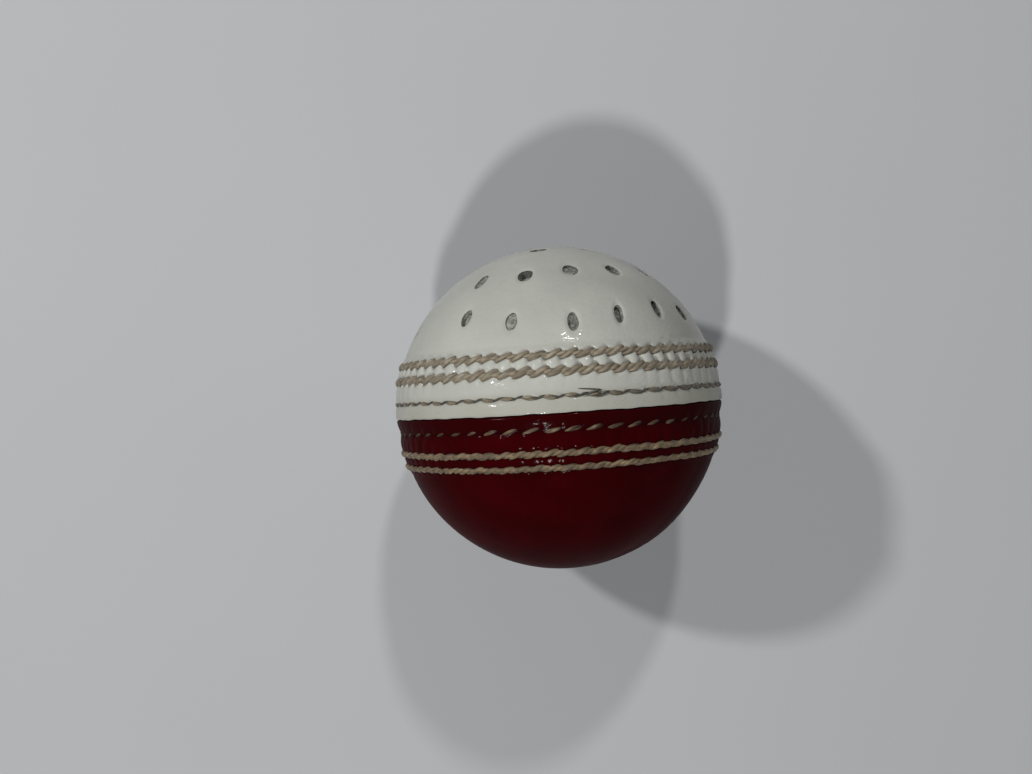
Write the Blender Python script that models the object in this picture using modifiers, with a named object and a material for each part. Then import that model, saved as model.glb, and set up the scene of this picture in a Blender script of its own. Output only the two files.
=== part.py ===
"""Cricket ball for swing practice, built as the real one is.

A wound core of cork and wool sits in two lined leather halves: a white one with punched holes and a
smooth red one. Six rows of thread run round the seam, three on each half.

Metres, +Z up. The ball's axis, through the middles of both halves, lies along +Y with the white half
towards +Y, so the seam stands upright. The origin is the ball's centre.
"""

import math
from collections import namedtuple

import bmesh
import bpy
from mathutils import Matrix

# Leather halves
BALL_RADIUS = 0.0360  # over the smooth leather: a girth of 226 mm
LEATHER_THICKNESS = 0.0030
SEAM_RISE = 0.0005  # leather between the edge rows stands this far above the smooth leather
LIP_ROUND = 0.0004  # rounded edge of each half where the two meet

# Layers under the leather, from the outside in
LINING_THICKNESS = 0.0008
OUTER_YARN_THICKNESS = 0.0040
CORK_THICKNESS = 0.0035
INNER_YARN_THICKNESS = 0.0040
YARN_EYE_RADIUS = 0.0020  # opening that a winding leaves at each end of its axis
SEAT_GAP = 0.0003  # clearance between pieces that touch on the real ball

# Stitch rows: height of each above the plane where the halves meet
CLOSING_ROW_HEIGHT = 0.0030
MIDDLE_ROW_HEIGHT = 0.0075
EDGE_ROW_HEIGHT = 0.0106

# Thread of the middle and edge rows, which are sewn through one half only
ROW_THREAD_RADIUS = 0.00052
ROW_THREAD_SLANT = 0.00085  # rise of one stitch from its low end to its high end
ROW_THREAD_PROUD = 0.00040  # crest of a stitch above the raised leather
WHITE_ROW_STITCHES = 68
RED_ROW_STITCHES = 70

# Thread of the closing rows, which sew the two halves together
CLOSING_THREAD_RADIUS = 0.00042
CLOSING_THREAD_SLANT = 0.00050
CLOSING_THREAD_PROUD = 0.00020
CLOSING_STITCHES = 54

DIVE_SHARE = 0.55  # thread radius where it goes into a needle hole, as a share of its full radius
STITCH_SHARE = 0.70  # length of a stitch as a share of the step from one stitch to the next

# Holes punched in the white leather: latitude of the ring, count, longitude of its first hole
PUNCH_DIAMETER = 0.0038
PUNCH_RINGS = ((30.8, 19, 7.3), (51.4, 15, 11.3), (72.5, 6, 49.9), (90.0, 1, 0.0))
DRAW_NARROWING = 2.4  # cupping the leather narrows a hole along the ring by this power of the draw
DRAW_LENGTHENING = 0.65  # and lengthens it towards the pole by this one

# Facets
LEATHER_STEPS = 40
CORE_STEPS = 20
CAP_SEGMENTS = 7
CORE_SEGMENTS = 5  # in each quarter circle
HOLE_SIDES = 8
MERGE_DISTANCE = 0.00001

SEAM_RADIUS = BALL_RADIUS + SEAM_RISE
LINING_RADIUS = BALL_RADIUS - LEATHER_THICKNESS - SEAT_GAP
OUTER_YARN_RADIUS = LINING_RADIUS - LINING_THICKNESS - SEAT_GAP
CORK_RADIUS = OUTER_YARN_RADIUS - OUTER_YARN_THICKNESS - SEAT_GAP
INNER_YARN_RADIUS = CORK_RADIUS - CORK_THICKNESS - SEAT_GAP
NUCLEUS_RADIUS = INNER_YARN_RADIUS - INNER_YARN_THICKNESS - SEAT_GAP
JOIN_HEIGHT = SEAT_GAP / 2  # each half stops this far from the plane where they meet

Thread = namedtuple("Thread", "radius slant proud")
Row = namedtuple("Row", "name height stitches thread")

ROW_THREAD = Thread(ROW_THREAD_RADIUS, ROW_THREAD_SLANT, ROW_THREAD_PROUD)
CLOSING_THREAD = Thread(CLOSING_THREAD_RADIUS, CLOSING_THREAD_SLANT, CLOSING_THREAD_PROUD)


def clear_scene():
    for obj in list(bpy.data.objects):
        bpy.data.objects.remove(obj)


def new_collection(name):
    collection = bpy.data.collections.new(name)
    bpy.context.scene.collection.children.link(collection)
    return collection


def new_material(name, colour, roughness):
    """A non-metallic material of one linear colour."""
    material = bpy.data.materials.new(name)
    material.use_nodes = True
    shader = material.node_tree.nodes["Principled BSDF"]
    shader.inputs["Base Color"].default_value = (*colour, 1.0)
    shader.inputs["Roughness"].default_value = roughness
    shader.inputs["Metallic"].default_value = 0.0
    return material


def new_frame(name, collection, turn, parent=None):
    """An empty turned about its X axis."""
    frame = bpy.data.objects.new(name, None)
    frame.rotation_euler = (turn, 0.0, 0.0)
    frame.parent = parent
    collection.objects.link(frame)
    return frame


def place(name, data, collection, frame, material):
    obj = bpy.data.objects.new(name, data)
    obj.data.materials.append(material)
    obj.parent = frame
    collection.objects.link(obj)
    return obj


def ring_point(radius, height):
    """Point of a profile on the sphere of this radius, as (distance from the axis, height)."""
    return math.sqrt(radius * radius - height * height), height


def arc(radius, first, last, segments):
    """Profile points on a sphere, between two latitudes in radians, both ends included."""
    turns = [first + (last - first) * i / segments for i in range(segments + 1)]
    return [(radius * math.cos(turn), radius * math.sin(turn)) for turn in turns]


def rim_latitude(radius):
    return math.asin(JOIN_HEIGHT / radius)


def turned(name, profile, steps, closed, collection, frame, material):
    """A solid of revolution about Z from (distance from the axis, height) points."""
    mesh = bpy.data.meshes.new(name)
    vertices = [(distance, 0.0, height) for distance, height in profile]
    edges = [(i, i + 1) for i in range(len(profile) - 1)]
    if closed:
        edges.append((len(profile) - 1, 0))
    mesh.from_pydata(vertices, edges, [])
    obj = place(name, mesh, collection, frame, material)
    screw = obj.modifiers.new("turn", "SCREW")
    screw.axis = "Z"
    screw.steps = steps
    screw.render_steps = steps
    screw.use_merge_vertices = True
    screw.merge_threshold = MERGE_DISTANCE
    screw.use_smooth_shade = True
    return obj


def groove_half_width(thread):
    return thread.slant / 2 + thread.radius + SEAT_GAP


def thread_path_radius(thread):
    """Distance of a stitch's middle line from the ball's centre."""
    return SEAM_RADIUS + thread.proud - thread.radius


def groove_floor_radius(thread):
    return thread_path_radius(thread) - thread.radius - SEAT_GAP


def groove_profile(row, outer_surface):
    """Channel that a row of stitches pulls into the leather, from its pole side to its join side."""
    half_width = groove_half_width(row.thread)
    floor_half_width = half_width - row.thread.radius
    floor = groove_floor_radius(row.thread)
    return [
        ring_point(outer_surface, row.height + half_width),
        ring_point(floor, row.height + floor_half_width),
        ring_point(floor, row.height - floor_half_width),
        ring_point(SEAM_RADIUS, row.height - half_width),
    ]


def leather_profile(rows):
    """Half cover, pole upwards: smooth cap, three thread channels, lip, and inner face."""
    edge_row = rows[0]
    cap_end = math.asin((edge_row.height + groove_half_width(edge_row.thread)) / BALL_RADIUS)
    points = arc(BALL_RADIUS, math.pi / 2, cap_end, CAP_SEGMENTS)[:-1]
    surface = BALL_RADIUS
    for row in rows:
        points += groove_profile(row, surface)
        surface = SEAM_RADIUS
    points.append(ring_point(SEAM_RADIUS, JOIN_HEIGHT + LIP_ROUND))
    points.append(ring_point(SEAM_RADIUS - LIP_ROUND, JOIN_HEIGHT))
    inner = BALL_RADIUS - LEATHER_THICKNESS
    points += arc(inner, rim_latitude(inner), math.pi / 2, CORE_SEGMENTS)
    return points


def cup_profile(outer, inner):
    """Half shell, pole upwards."""
    points = arc(outer, math.pi / 2, rim_latitude(outer), CORE_SEGMENTS)
    return points + arc(inner, rim_latitude(inner), math.pi / 2, CORE_SEGMENTS)


def winding_profile(outer, inner):
    """Wound shell, open at the eye that the yarn leaves at each end of the axis."""
    segments = 2 * CORE_SEGMENTS
    outer_end = math.acos(YARN_EYE_RADIUS / outer)
    inner_end = math.acos(YARN_EYE_RADIUS / inner)
    return arc(outer, outer_end, -outer_end, segments) + arc(inner, -inner_end, inner_end, segments)


def nucleus(name, collection, frame, material):
    shape = bmesh.new()
    bmesh.ops.create_uvsphere(
        shape, u_segments=CORE_STEPS, v_segments=2 * CORE_SEGMENTS, radius=NUCLEUS_RADIUS
    )
    mesh = bpy.data.meshes.new(name)
    shape.to_mesh(mesh)
    shape.free()
    mesh.shade_smooth()
    return place(name, mesh, collection, frame, material)


def stitch_row(row, collection, frame, material):
    """One unbroken thread: each stitch rises along the row, then dips back into the next needle hole."""
    curve = bpy.data.curves.new(row.name, "CURVE")
    curve.dimensions = "3D"
    curve.twist_mode = "Z_UP"
    curve.bevel_depth = row.thread.radius
    curve.bevel_resolution = 0
    path_radius = thread_path_radius(row.thread)
    dive_radius = path_radius - row.thread.radius * (1.0 - DIVE_SHARE)
    pitch = 2 * math.pi / row.stitches
    spline = curve.splines.new("POLY")
    spline.points.add(2 * row.stitches - 1)
    for stitch in range(row.stitches):
        ends = (
            (0.0, -row.thread.slant / 2, dive_radius, DIVE_SHARE),
            (STITCH_SHARE * pitch, row.thread.slant / 2, path_radius, 1.0),
        )
        for end, (turn, rise, radius, share) in enumerate(ends):
            distance, height = ring_point(radius, row.height + rise)
            angle = stitch * pitch + turn
            point = spline.points[2 * stitch + end]
            point.co = (distance * math.cos(angle), distance * math.sin(angle), height, 1.0)
            point.radius = share
    spline.use_cyclic_u = True
    return place(row.name, curve, collection, frame, material)


def punch_cutters(collection, frame):
    """One oval cylinder through the leather for each hole, with its long side towards the pole."""
    shape = bmesh.new()
    depth = 2 * (LEATHER_THICKNESS + SEAT_GAP)
    for latitude, count, first_longitude in PUNCH_RINGS:
        from_pole = math.radians(90.0 - latitude)
        draw = math.sin(from_pole) / from_pole if from_pole else 1.0
        width = PUNCH_DIAMETER * draw**DRAW_NARROWING
        length = PUNCH_DIAMETER * draw**-DRAW_LENGTHENING
        for hole in range(count):
            longitude = math.radians(first_longitude - 90.0) + 2 * math.pi * hole / count
            seat = (
                Matrix.Rotation(longitude, 4, "Z")
                @ Matrix.Rotation(from_pole, 4, "Y")
                @ Matrix.Translation((0.0, 0.0, BALL_RADIUS - LEATHER_THICKNESS / 2))
                @ Matrix.Diagonal((length, width, 1.0, 1.0))
            )
            bmesh.ops.create_cone(
                shape,
                cap_ends=True,
                segments=HOLE_SIDES,
                radius1=0.5,
                radius2=0.5,
                depth=depth,
                matrix=seat,
            )
    mesh = bpy.data.meshes.new("punch_cutters")
    shape.to_mesh(mesh)
    shape.free()
    cutters = bpy.data.objects.new("punch_cutters", mesh)
    cutters.parent = frame
    cutters.hide_render = True
    cutters.display_type = "WIRE"
    collection.objects.link(cutters)
    return cutters


def punch(leather, cutters):
    cut = leather.modifiers.new("punched holes", "BOOLEAN")
    cut.operation = "DIFFERENCE"
    cut.object = cutters


def half_rows(colour, stitches):
    """The three rows of one half, from its pole towards the join."""
    return [
        Row(f"{colour}_edge_thread", EDGE_ROW_HEIGHT, stitches, ROW_THREAD),
        Row(f"{colour}_middle_thread", MIDDLE_ROW_HEIGHT, stitches, ROW_THREAD),
        Row(f"{colour}_closing_thread", CLOSING_ROW_HEIGHT, CLOSING_STITCHES, CLOSING_THREAD),
    ]


def half_cover(colour, rows, collection, frame, leather_material, thread_material, materials):
    """Everything that belongs to one half. Returns its leather."""
    leather = turned(
        f"{colour}_leather_half",
        leather_profile(rows),
        LEATHER_STEPS,
        False,
        collection,
        frame,
        leather_material,
    )
    lining = cup_profile(LINING_RADIUS, LINING_RADIUS - LINING_THICKNESS)
    turned(f"{colour}_lining", lining, CORE_STEPS, False, collection, frame, materials["lining"])
    cork = cup_profile(CORK_RADIUS, CORK_RADIUS - CORK_THICKNESS)
    turned(f"{colour}_side_cork_cup", cork, CORE_STEPS, False, collection, frame, materials["cork"])
    for row in rows:
        stitch_row(row, collection, frame, thread_material)
    return leather


def wound_core(collection, frame, materials):
    nucleus("cork_rubber_nucleus", collection, frame, materials["nucleus"])
    inner = winding_profile(INNER_YARN_RADIUS, INNER_YARN_RADIUS - INNER_YARN_THICKNESS)
    turned("inner_yarn_winding", inner, CORE_STEPS, True, collection, frame, materials["yarn"])
    outer = winding_profile(OUTER_YARN_RADIUS, OUTER_YARN_RADIUS - OUTER_YARN_THICKNESS)
    turned("outer_yarn_winding", outer, CORE_STEPS, True, collection, frame, materials["yarn"])


def main():
    clear_scene()
    ball = new_collection("cricket_ball")
    helpers = new_collection("cutters")
    materials = {
        "nucleus": new_material("cork and rubber", (0.10, 0.055, 0.035), 0.8),
        "yarn": new_material("worsted wool", (0.42, 0.36, 0.28), 0.95),
        "cork": new_material("cork", (0.36, 0.21, 0.11), 0.85),
        "lining": new_material("grey felt", (0.13, 0.13, 0.12), 0.95),
        "white leather": new_material("white lacquered leather", (0.62, 0.62, 0.56), 0.25),
        "red leather": new_material("red polished leather", (0.11, 0.004, 0.008), 0.2),
        "white thread": new_material("waxed linen", (0.27, 0.21, 0.15), 0.7),
        "red thread": new_material("pale waxed linen", (0.38, 0.32, 0.20), 0.7),
    }

    # The axis frame lays the ball's axis along +Y, and the red half faces the other way along it.
    axis_frame = new_frame("axis_frame", ball, -math.pi / 2)
    white_frame = new_frame("white_half_frame", ball, 0.0, axis_frame)
    red_frame = new_frame("red_half_frame", ball, math.pi, axis_frame)

    wound_core(ball, axis_frame, materials)
    white_rows = half_rows("white", WHITE_ROW_STITCHES)
    white_leather = half_cover(
        "white", white_rows, ball, white_frame,
        materials["white leather"], materials["white thread"], materials,
    )
    punch(white_leather, punch_cutters(helpers, white_frame))
    red_rows = half_rows("red", RED_ROW_STITCHES)
    half_cover(
        "red", red_rows, ball, red_frame,
        materials["red leather"], materials["red thread"], materials,
    )


main()
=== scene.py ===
import math
import random

import bmesh
import bpy
import numpy as np
from mathutils import Matrix, Vector


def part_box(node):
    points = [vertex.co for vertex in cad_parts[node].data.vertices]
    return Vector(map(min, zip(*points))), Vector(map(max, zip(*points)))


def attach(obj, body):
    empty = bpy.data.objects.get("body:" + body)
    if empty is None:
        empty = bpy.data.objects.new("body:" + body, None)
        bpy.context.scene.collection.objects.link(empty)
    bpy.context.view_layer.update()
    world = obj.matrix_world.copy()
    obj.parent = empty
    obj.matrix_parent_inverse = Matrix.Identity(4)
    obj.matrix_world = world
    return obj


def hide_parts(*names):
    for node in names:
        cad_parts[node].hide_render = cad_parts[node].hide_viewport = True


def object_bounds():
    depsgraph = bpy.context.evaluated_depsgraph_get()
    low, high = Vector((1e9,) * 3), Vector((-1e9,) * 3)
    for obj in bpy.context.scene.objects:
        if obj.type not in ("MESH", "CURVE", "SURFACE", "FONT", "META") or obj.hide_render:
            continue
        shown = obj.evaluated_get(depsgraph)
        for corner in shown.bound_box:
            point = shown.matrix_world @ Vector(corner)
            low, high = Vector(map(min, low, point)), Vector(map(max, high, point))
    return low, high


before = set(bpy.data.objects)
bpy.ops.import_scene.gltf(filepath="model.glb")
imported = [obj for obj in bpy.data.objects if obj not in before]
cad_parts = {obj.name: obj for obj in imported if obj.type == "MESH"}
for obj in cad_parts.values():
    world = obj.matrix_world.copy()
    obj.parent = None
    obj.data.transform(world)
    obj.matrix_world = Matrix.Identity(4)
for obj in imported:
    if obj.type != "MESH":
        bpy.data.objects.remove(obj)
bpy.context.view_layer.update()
mm = 0.001
print("frame loaded:", len(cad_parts), "nodes")

# the ball's axis is +Y, towards the white half; longitude 0 faces up (+Z) and grows towards +X
ballRadius = -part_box("red_leather_half")[0].y
liningRadius = -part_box("red_lining")[0].y


def rowHeight(node):
    low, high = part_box(node)
    return (low.y + high.y) / 2


def onBall(lon, height, radius):
    out = math.sqrt(max(radius * radius - height * height, 0.0))
    return Vector((out * math.sin(lon), height, out * math.cos(lon)))


# colours and nodes

def srgb(hexColour):
    parts = [int(hexColour[i:i + 2], 16) / 255 for i in (1, 3, 5)]
    return tuple(c / 12.92 if c <= 0.04045 else ((c + 0.055) / 1.055) ** 2.4 for c in parts) + (1.0,)


def addNode(tree, kind, settings=None, links=None, stops=None):
    node = tree.nodes.new(kind)
    for key, value in (settings or {}).items():
        if isinstance(key, str) and hasattr(node, key):
            setattr(node, key, value)
        else:
            node.inputs[key].default_value = value
    for key, socket in (links or {}).items():
        tree.links.new(socket, node.inputs[key])
    if stops:
        band = node.color_ramp.elements
        while len(band) < len(stops):
            band.new(0.5)
        for element, (place, colour) in zip(band, stops):
            element.position = place
            element.color = srgb(colour)
    return node


def newMaterial(name):
    made = bpy.data.materials.new(name)
    made.use_nodes = True
    tree = made.node_tree
    return made, tree, tree.nodes["Principled BSDF"]


def perMetre(sizeMm):  # pattern scale for Object coordinates, from the size of one cell
    return 1.0 / (sizeMm * mm)


# finished leather: even dye over fine grain, wrinkles that break up a highlight, dirt and painted shade at
# the seam

def leather(name, look):
    made, tree, shader = newMaterial(name)
    place = addNode(tree, "ShaderNodeTexCoord").outputs["Object"]
    cloud = addNode(tree, "ShaderNodeTexNoise", {"Scale": perMetre(look["cloudMm"]), "Detail": 3.0},
                    {"Vector": place}).outputs["Fac"]
    base = addNode(tree, "ShaderNodeValToRGB", links={"Fac": cloud},
                   stops=((0.3, look["shade"]), (0.7, look["light"])))
    fleck = addNode(tree, "ShaderNodeTexNoise", {"Scale": perMetre(look["fleckMm"]), "Detail": 4.0},
                    {"Vector": place}).outputs["Fac"]
    fleckMask = addNode(tree, "ShaderNodeMapRange",
                        {"From Min": 0.62, "From Max": 0.74, "To Max": look["fleck"]}, {"Value": fleck})
    speckled = addNode(tree, "ShaderNodeMix", {"data_type": "RGBA", "blend_type": "MULTIPLY",
                                               7: srgb(look["fleckColour"])},
                       {0: fleckMask.outputs["Result"], 6: base.outputs["Color"]})
    grimeAndShade = addNode(tree, "ShaderNodeAttribute", {"attribute_name": "grimeAndShade"}).outputs["Fac"]
    patch = addNode(tree, "ShaderNodeMapRange", {"From Min": 0.3, "From Max": 0.7, "To Min": look["grimeAndShade"][0],
                                                 "To Max": look["grimeAndShade"][1]}, {"Value": cloud})
    darkened = addNode(tree, "ShaderNodeMath", {"operation": "MULTIPLY"}, {0: grimeAndShade, 1: patch.outputs["Result"]})
    # painted shade: the attribute read here marks dirt and also painted shade in the stitch beds, needle pits
    # and grooves; the darkest colour, in the deepest pits, is mostly painted shade
    dirtAndShadeTint = addNode(tree, "ShaderNodeValToRGB", links={"Fac": grimeAndShade},
                   stops=((0.55, look["grimeColour"]), (0.95, look["pitDirtAndShadeColour"])))
    soiledAndShaded = addNode(tree, "ShaderNodeMix", {"data_type": "RGBA"},
                    {0: darkened.outputs["Value"], 6: speckled.outputs[2], 7: dirtAndShadeTint.outputs["Color"]})
    tree.links.new(soiledAndShaded.outputs[2], shader.inputs["Base Color"])
    worn = addNode(tree, "ShaderNodeMapRange", {"From Min": 0.3, "From Max": 0.7, "To Min": look["gloss"][0],
                                                "To Max": look["gloss"][1]}, {"Value": fleck})
    tree.links.new(worn.outputs["Result"], shader.inputs["Roughness"])
    grain = addNode(tree, "ShaderNodeTexVoronoi",
                    {"feature": "SMOOTH_F1", "Scale": perMetre(look["grainMm"])}, {"Vector": place})
    flatter = addNode(tree, "ShaderNodeMapping", {"vector_type": "TEXTURE", "Scale": (1.0, 0.4, 1.0),
                                                  "Rotation": (0.0, 0.0, math.radians(look["wrinkleTurn"]))},
                      {"Vector": place})
    wrinkle = addNode(tree, "ShaderNodeTexNoise", {"Scale": perMetre(look["wrinkleMm"]), "Detail": 1.5},
                      {"Vector": flatter.outputs["Vector"]})
    film = addNode(tree, "ShaderNodeBump", {"Strength": look["wrinkle"], "Distance": 0.1 * mm},
                   {"Height": wrinkle.outputs["Fac"]})
    skin = addNode(tree, "ShaderNodeBump", {"Strength": look["grain"], "Distance": 0.06 * mm},
                   {"Height": grain.outputs["Distance"], "Normal": film.outputs["Normal"]})
    tree.links.new(skin.outputs["Normal"], shader.inputs["Normal"])
    tree.links.new(film.outputs["Normal"], shader.inputs["Coat Normal"])
    shader.inputs["IOR"].default_value = 1.5
    shader.inputs["Specular IOR Level"].default_value = look["specular"]
    shader.inputs["Coat Weight"].default_value = look["coat"]
    shader.inputs["Coat IOR"].default_value = look["coatIor"]
    shader.inputs["Coat Roughness"].default_value = look["coatRough"]
    return made


# waxed linen: flax fibres laid in plies, a dull sheen, and painted shade in the twist, where it goes into the
# leather and towards the ball's sides

def waxedLinen(name, look):
    made, tree, shader = newMaterial(name)
    along = addNode(tree, "ShaderNodeUVMap", {"uv_map": "thread"}).outputs["UV"]
    place = addNode(tree, "ShaderNodeTexCoord").outputs["Object"]
    slant = addNode(tree, "ShaderNodeMapping", {"Rotation": (0.0, 0.0, math.radians(look["layDegrees"]))},
                    {"Vector": along})
    fibres = [stitch / fibre for stitch, fibre in zip(look["stitchMm"], look["fibreMm"])]
    drawn = addNode(tree, "ShaderNodeMapping", {"Scale": (*fibres, 1.0)}, {"Vector": slant.outputs["Vector"]})
    fibre = addNode(tree, "ShaderNodeTexNoise", {"Scale": 1.0, "Detail": 3.0},
                    {"Vector": drawn.outputs["Vector"]}).outputs["Fac"]
    tone = addNode(tree, "ShaderNodeTexNoise", {"Scale": perMetre(look["toneMm"]), "Detail": 2.0},
                   {"Vector": place})
    base = addNode(tree, "ShaderNodeValToRGB", links={"Fac": tone.outputs["Fac"]},
                   stops=((0.32, look["dark"]), (0.5, look["mid"]), (0.68, look["light"])))
    fibreShade = addNode(tree, "ShaderNodeValToRGB", links={"Fac": fibre},
                         stops=((0.3, look["fibreDark"]), (0.65, "#ffffff")))
    shaded = addNode(tree, "ShaderNodeMix", {"data_type": "RGBA", "blend_type": "MULTIPLY", 0: look["fibre"]},
                     {6: base.outputs["Color"], 7: fibreShade.outputs["Color"]})
    # painted shade: the attribute read here darkens the twist, the stitch ends and the ball's sides, and
    # marks the dark loose ends
    grimeAndShade = addNode(tree, "ShaderNodeAttribute", {"attribute_name": "grimeAndShade"}).outputs["Fac"]
    dull = addNode(tree, "ShaderNodeMath", {"operation": "MULTIPLY", 1: look["hollow"]}, {0: grimeAndShade})
    deep = addNode(tree, "ShaderNodeMix", {"data_type": "RGBA", 7: srgb(look["hollowColour"])},
                   {0: dull.outputs["Value"], 6: shaded.outputs[2]})
    tree.links.new(deep.outputs[2], shader.inputs["Base Color"])
    bump = addNode(tree, "ShaderNodeBump", {"Strength": 0.7, "Distance": 0.06 * mm}, {"Height": fibre})
    tree.links.new(bump.outputs["Normal"], shader.inputs["Normal"])
    shader.inputs["Roughness"].default_value = look["rough"]
    shader.inputs["Specular IOR Level"].default_value = look["specular"]
    shader.inputs["Sheen Weight"].default_value = look["sheen"]
    return made


# materials for what lies under the leather

def granules(name, cellMm, dark, mid, light, rough):  # ground cork, pressed: grains of mixed browns
    made, tree, shader = newMaterial(name)
    place = addNode(tree, "ShaderNodeTexCoord").outputs["Object"]
    cells = addNode(tree, "ShaderNodeTexVoronoi", {"Scale": perMetre(cellMm)}, {"Vector": place})
    pick = addNode(tree, "ShaderNodeSeparateColor", links={"Color": cells.outputs["Color"]})
    tint = addNode(tree, "ShaderNodeValToRGB", links={"Fac": pick.outputs["Red"]},
                   stops=((0.1, dark), (0.5, mid), (0.9, light)))
    tree.links.new(tint.outputs["Color"], shader.inputs["Base Color"])
    bump = addNode(tree, "ShaderNodeBump", {"Strength": 0.5, "Distance": 0.2 * mm},
                   {"Height": cells.outputs["Distance"]})
    tree.links.new(bump.outputs["Normal"], shader.inputs["Normal"])
    shader.inputs["Roughness"].default_value = rough
    return made


def woolYarn(name, strandMm, dark, light):  # worsted wound round and round: soft matt strands side by side
    made, tree, shader = newMaterial(name)
    place = addNode(tree, "ShaderNodeTexCoord").outputs["Object"]
    bandSpacing = 2 * math.pi / 20  # of a wave at scale 1
    turns = addNode(tree, "ShaderNodeTexWave",
                    {"bands_direction": "Y", "Scale": bandSpacing * perMetre(strandMm), "Distortion": 3.0,
                     "Detail Scale": 2.0}, {"Vector": place}).outputs["Fac"]
    tint = addNode(tree, "ShaderNodeValToRGB", links={"Fac": turns}, stops=((0.1, dark), (0.8, light)))
    tree.links.new(tint.outputs["Color"], shader.inputs["Base Color"])
    bump = addNode(tree, "ShaderNodeBump", {"Strength": 0.8, "Distance": 0.3 * mm}, {"Height": turns})
    tree.links.new(bump.outputs["Normal"], shader.inputs["Normal"])
    shader.inputs["Roughness"].default_value = 0.95
    shader.inputs["Sheen Weight"].default_value = 0.3
    return made


def greyFelt(name, look):  # pressed felt: pale and dark hairs like salt and pepper, drawn coarse to show
    made, tree, shader = newMaterial(name)
    place = addNode(tree, "ShaderNodeTexCoord").outputs["Object"]
    hairs = addNode(tree, "ShaderNodeTexNoise",
                    {"Scale": perMetre(look["hairMm"]), "Detail": 2.0, "Roughness": 0.7}, {"Vector": place})
    clumps = addNode(tree, "ShaderNodeTexNoise", {"Scale": perMetre(look["clumpMm"])}, {"Vector": place})
    both = addNode(tree, "ShaderNodeMix", {"data_type": "FLOAT", 0: look["clumped"]},
                   {2: hairs.outputs["Fac"], 3: clumps.outputs["Fac"]}).outputs[0]
    tint = addNode(tree, "ShaderNodeValToRGB", links={"Fac": both},
                   stops=((0.40, look["dark"]), (0.5, look["mid"]), (0.60, look["light"])))
    tree.links.new(tint.outputs["Color"], shader.inputs["Base Color"])
    bump = addNode(tree, "ShaderNodeBump", {"Strength": 0.9, "Distance": 0.25 * mm}, {"Height": both})
    tree.links.new(bump.outputs["Normal"], shader.inputs["Normal"])
    shader.inputs["Roughness"].default_value = 0.95
    return made


# in each leather below, the darkest colour is painted shade in the needle pits and stitch beds, with dirt
whiteLook = {
    "shade": "#b0b1a9", "light": "#b8b9b0", "cloudMm": 9.0,
    "fleckMm": 1.6, "fleck": 0.15, "fleckColour": "#c4c0b4",
    "grimeAndShade": (0.245, 0.7), "grimeColour": "#8c8470", "pitDirtAndShadeColour": "#544a3a",
    "gloss": (0.42, 0.52), "specular": 0.10, "grainMm": 0.5, "grain": 0.04,
    "wrinkleMm": 1.2, "wrinkle": 0.70, "wrinkleTurn": 25.0,
    "coat": 0.4, "coatIor": 1.35, "coatRough": 0.06,
}
redLook = {
    "shade": "#2e0002", "light": "#390004", "cloudMm": 8.0,
    "fleckMm": 1.2, "fleck": 0.3, "fleckColour": "#b05050",
    "grimeAndShade": (0.28, 0.8), "grimeColour": "#1c0304", "pitDirtAndShadeColour": "#080202",
    "gloss": (0.5, 0.6), "specular": 0.0, "grainMm": 0.5, "grain": 0.04,
    "wrinkleMm": 1.1, "wrinkle": 0.40, "wrinkleTurn": 25.0,
    "coat": 0.15, "coatIor": 1.25, "coatRough": 0.12,
}
# a stitch's length and girth, and the fibres on it, drawn coarser than flax so that they show
# hollow and hollowColour: how far and to what colour a thread's painted shade darkens it
tanLook = {
    "dark": "#827763", "mid": "#9c907a", "light": "#b1a691", "fibreDark": "#6f624f", "fibre": 0.8,
    "toneMm": 2.2, "layDegrees": 24.0, "stitchMm": (4.8, 3.1), "fibreMm": (3.0, 0.62), "rough": 0.62,
    "sheen": 0.15, "specular": 0.5, "hollow": 0.75, "hollowColour": "#4a4235",
}
greyLook = dict(tanLook, dark="#786d58", mid="#9a8d73", light="#b3a78d", hollow=0.95,
                hollowColour="#1f1a13")
paleLook = {
    "dark": "#5e4e37", "mid": "#7a6648", "light": "#958261", "fibreDark": "#6e6044", "fibre": 0.8,
    "toneMm": 2.0, "layDegrees": 24.0, "stitchMm": (4.8, 3.1), "fibreMm": (3.0, 0.62), "rough": 0.6,
    "sheen": 0.15, "specular": 0.5, "hollow": 0.6, "hollowColour": "#33261b",
}
dullLook = dict(paleLook, dark="#615041", mid="#826f5b", light="#ac9b83", sheen=0.0, specular=0.1,
                hollow=0.95, hollowColour="#20110e")
feltLook = {"dark": "#5c5c56", "mid": "#7e7e78", "light": "#a1a199", "hairMm": 0.55, "clumpMm": 1.3,
            "clumped": 0.45}
rawLook = dict(feltLook, dark="#5a5a54", mid="#84847e", light="#a6a69e", hairMm=0.4, clumpMm=1.0)

whiteLeather = leather("white lacquered leather", whiteLook)
redLeather = leather("red polished leather", redLook)
tanThread = waxedLinen("tan waxed linen", tanLook)
greyThread = waxedLinen("grey waxed linen", greyLook)
paleThread = waxedLinen("pale waxed linen", paleLook)
dullThread = waxedLinen("dull waxed linen", dullLook)
felt = greyFelt("grey felt", feltLook)
rawEdge = greyFelt("raw cut leather", rawLook)  # where the punch went through: grey fibres, no finish
cork = granules("pressed cork", 1.4, "#6b4526", "#9c6f44", "#b98f62", 0.85)
corkRubber = granules("cork and rubber", 1.0, "#2a1a12", "#4d3122", "#7a5738", 0.8)
wool = woolYarn("worsted wool", 1.2, "#7b6f5c", "#c4b79f")
print("materials made")


# stitches: sizes in mm, counts as on the ball

# painted shade on the thread by degrees round the ball: darker towards the sides, most towards +X
tanSideShade = ((-180, 0.3), (-75, 0.45), (-50, 0.25), (-25, 0.0), (15, 0.0), (30, 0.3), (50, 0.55), (75, 0.75),
           (180, 0.3))

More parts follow.
